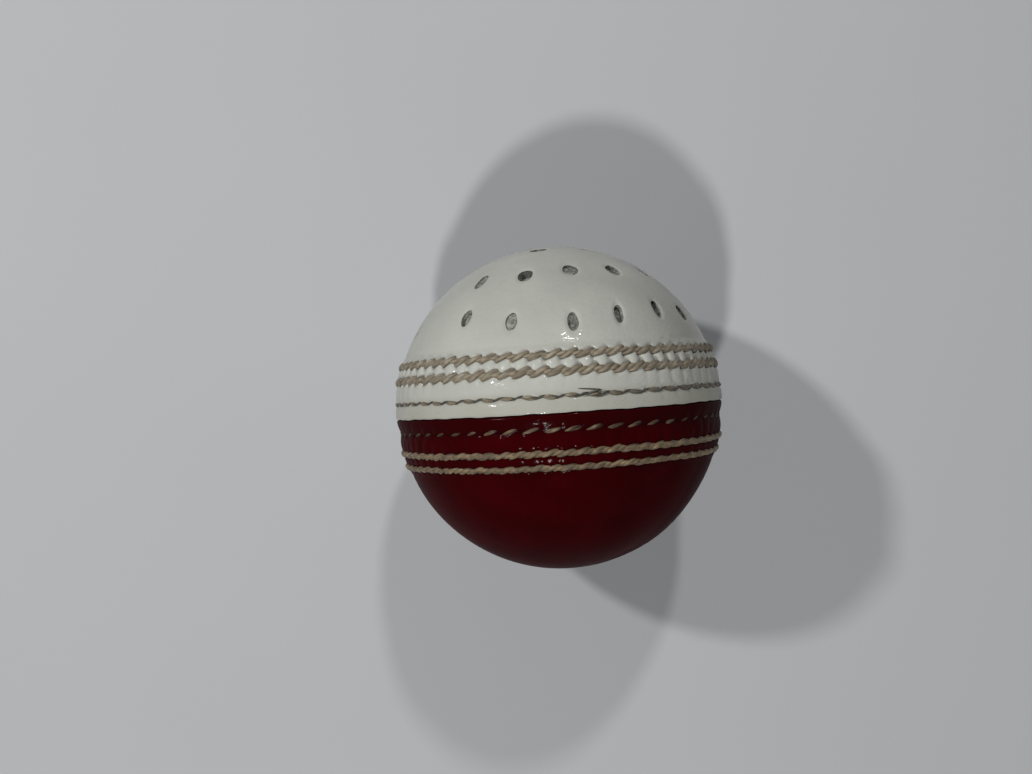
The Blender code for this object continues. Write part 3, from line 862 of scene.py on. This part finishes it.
def makeLining(side, spots):
    sign = seam[side]["sign"]
    outline = []
    for radius, way in ((liningRadius, 1), (liningRadius - liningMesh["thick"] * mm, -1)):
        turns = [math.pi / 2 * i / liningMesh["rows"] for i in range(liningMesh["rows"] + 1)][::-way]
        for turn in turns:
            height = max(radius * math.sin(turn), liningMesh["joinGap"] * mm)
            outline.append((sign * height, radius * math.cos(turn)))
    mesh = spun(side + "Lining", outline, liningMesh["columns"])
    bm = bmesh.new()
    bm.from_mesh(mesh)
    plugMesh = feltPlug()
    sunk = plug["sunk"] * mm
    for spot in spots:
        before = len(bm.verts)
        bm.from_mesh(plugMesh)
        bm.verts.ensure_lookup_table()
        depth = ballRadius - spot["floor"] * mm - liningRadius + sunk
        wide, long = (spot[key] * plug["wide"] * mm for key in ("wide", "long"))
        seat = (spot["turn"].to_4x4() @ Matrix.Translation((0, liningRadius - sunk, 0))
                @ Matrix.Rotation(-spot["lean"], 4, "Y") @ Matrix.Rotation(-math.pi / 2, 4, "X")
                @ Matrix.Diagonal((wide, long, depth, 1)))
        bmesh.ops.transform(bm, matrix=seat, verts=bm.verts[before:])
    bm.to_mesh(mesh)
    bm.free()
    bpy.data.meshes.remove(plugMesh)
    mesh.shade_smooth()
    return putPiece(side + "Lining", mesh, felt, side + "_lining")


makeLining("white", spots)
makeLining("red", [])

inside = {"cork_rubber_nucleus": corkRubber, "inner_yarn_winding": wool, "outer_yarn_winding": wool,
          "white_side_cork_cup": cork, "red_side_cork_cup": cork}
for node, material in inside.items():
    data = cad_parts[node].data
    data.materials.clear()
    data.materials.append(material)
print("core dressed")


# stage: pale floor under the seam, three soft lamps and a low even fill

# the picture in pixels, turns in degrees, and lengths in mm, for a ball of the radius given here
view = {"width": 1032, "height": 774, "focal": 1000.0, "ballX": 558.04, "ballY": 407.10,
        "tilt": 1.233, "roll": -3.709, "distance": 226.88, "radius": 36.0, "sensor": 36.0, "nearest": 5.0}

# the floor's half width, where it fades, and the lamps' sizes and distance are in metres
stage = {"floor": "#b6b7b9", "floorShade": "#b3b4b6", "floorBounce": "#787878", "cloudMm": 120.0, "half": 3.0,
         "fade": (0.25, 0.8), "fill": "#e9eef4", "fillStrength": 0.02, "backdrop": "#b8b9bb"}
lamps = {  # where each lamp is: degrees off straight up, and which way round, 0 being +Y and 90 being +X
    "front": {"off": 37.0, "round": 196.0, "power": 3.7, "size": 0.06},
    "back": {"off": 47.0, "round": 14.0, "power": 2.5, "size": 0.06},
    "left": {"off": 46.0, "round": 302.0, "power": 3.7, "size": 0.06},
}
lampDistance = 0.9


def seenRays(tree):  # 1 where a ray shows the background: from the camera, in a gloss or through glass
    path = addNode(tree, "ShaderNodeLightPath").outputs
    plain = addNode(tree, "ShaderNodeMath", {"operation": "MAXIMUM"},
                    {0: path["Is Camera Ray"], 1: path["Is Glossy Ray"]}).outputs["Value"]
    return addNode(tree, "ShaderNodeMath", {"operation": "MAXIMUM"},
                   {0: plain, 1: path["Is Transmission Ray"]}).outputs["Value"]


def makeFloor():
    bm = bmesh.new()
    bmesh.ops.create_grid(bm, x_segments=2, y_segments=2, size=stage["half"])
    bmesh.ops.translate(bm, verts=bm.verts[:], vec=(0, 0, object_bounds()[0].z))
    mesh = bpy.data.meshes.new("floor")
    bm.to_mesh(mesh)
    bm.free()
    floor = bpy.data.objects.new("floor", mesh)
    bpy.context.scene.collection.objects.link(floor)
    made, tree, shader = newMaterial("pale floor")  # matt painted board: even, no gloss to speak of
    place = addNode(tree, "ShaderNodeTexCoord").outputs["Object"]
    cloud = addNode(tree, "ShaderNodeTexNoise", {"Scale": perMetre(stage["cloudMm"])}, {"Vector": place})
    tint = addNode(tree, "ShaderNodeValToRGB", links={"Fac": cloud.outputs["Fac"]},
                   stops=((0.2, stage["floorShade"]), (0.8, stage["floor"])))
    shown = addNode(tree, "ShaderNodeMix", {"data_type": "RGBA", 6: srgb(stage["floorBounce"])},
                    {0: seenRays(tree), 7: tint.outputs["Color"]})
    tree.links.new(shown.outputs[2], shader.inputs["Base Color"])
    shader.inputs["Roughness"].default_value = 0.9
    far = addNode(tree, "ShaderNodeVectorMath", {"operation": "LENGTH"}, {0: place}).outputs["Value"]
    clear, gone = stage["fade"]
    fade = addNode(tree, "ShaderNodeMapRange",
                   {"interpolation_type": "SMOOTHSTEP", "From Min": clear, "From Max": gone},
                   {"Value": far}).outputs["Result"]
    hazy = addNode(tree, "ShaderNodeMath", {"operation": "MULTIPLY"}, {0: fade, 1: seenRays(tree)})
    backdrop = addNode(tree, "ShaderNodeEmission", {"Color": srgb(stage["backdrop"]), "Strength": 1.0})
    mixed = addNode(tree, "ShaderNodeMixShader", links={0: hazy.outputs["Value"], 1: shader.outputs["BSDF"],
                                                        2: backdrop.outputs["Emission"]})
    tree.links.new(mixed.outputs["Shader"], tree.nodes["Material Output"].inputs["Surface"])
    mesh.materials.append(made)


def makeLamps():
    for name, lamp in lamps.items():
        data = bpy.data.lights.new(name + "Lamp", "AREA")
        data.shape = "DISK"
        data.size = lamp["size"]
        data.energy = lamp["power"]
        made = bpy.data.objects.new(name + "Lamp", data)
        off, way = math.radians(lamp["off"]), math.radians(lamp["round"])
        towards = Vector((math.sin(off) * math.sin(way), math.sin(off) * math.cos(way), math.cos(off)))
        made.location = towards * lampDistance
        made.rotation_euler = towards.to_track_quat("Z", "Y").to_euler()
        bpy.context.scene.collection.objects.link(made)


def makeWorld():
    world = bpy.data.worlds.new("studio")
    world.use_nodes = True
    tree = world.node_tree
    fill = tree.nodes["Background"]
    fill.inputs["Color"].default_value = srgb(stage["fill"])
    fill.inputs["Strength"].default_value = stage["fillStrength"]
    backdrop = addNode(tree, "ShaderNodeBackground", {"Color": srgb(stage["backdrop"]), "Strength": 1.0})
    mixed = addNode(tree, "ShaderNodeMixShader", links={0: seenRays(tree), 1: fill.outputs[0],
                                                        2: backdrop.outputs[0]})
    tree.links.new(mixed.outputs[0], tree.nodes["World Output"].inputs["Surface"])
    bpy.context.scene.world = world


def makeCamera():
    tilt, roll = math.radians(view["tilt"]), math.radians(view["roll"])
    distance = view["distance"] * mm * ballRadius / (view["radius"] * mm)
    spot = Vector((0, math.sin(tilt), math.cos(tilt))) * distance
    ahead = -spot.normalized()
    right = ahead.cross(Vector((0, 1, 0))).normalized()
    up = right.cross(ahead)
    right, up = right * math.cos(roll) + up * math.sin(roll), up * math.cos(roll) - right * math.sin(roll)
    across = (view["ballX"] - view["width"] / 2) / view["focal"]
    down = (view["ballY"] - view["height"] / 2) / view["focal"]
    ahead = (ahead - right * across + up * down).normalized()
    right = (right - ahead * right.dot(ahead)).normalized()
    up = right.cross(ahead)
    data = bpy.data.cameras.new("camera")
    data.sensor_width = view["sensor"]
    data.lens = data.sensor_width * view["focal"] / view["width"]
    data.clip_start = view["nearest"] * mm
    camera = bpy.data.objects.new("camera", data)
    camera.matrix_world = Matrix.Translation(spot) @ Matrix((right, up, -ahead)).transposed().to_4x4()
    bpy.context.scene.collection.objects.link(camera)
    bpy.context.scene.camera = camera


makeFloor()
makeLamps()
makeWorld()
makeCamera()
bpy.context.scene.view_settings.view_transform = "Standard"
print("stage lit")

bpy.context.view_layer.update()
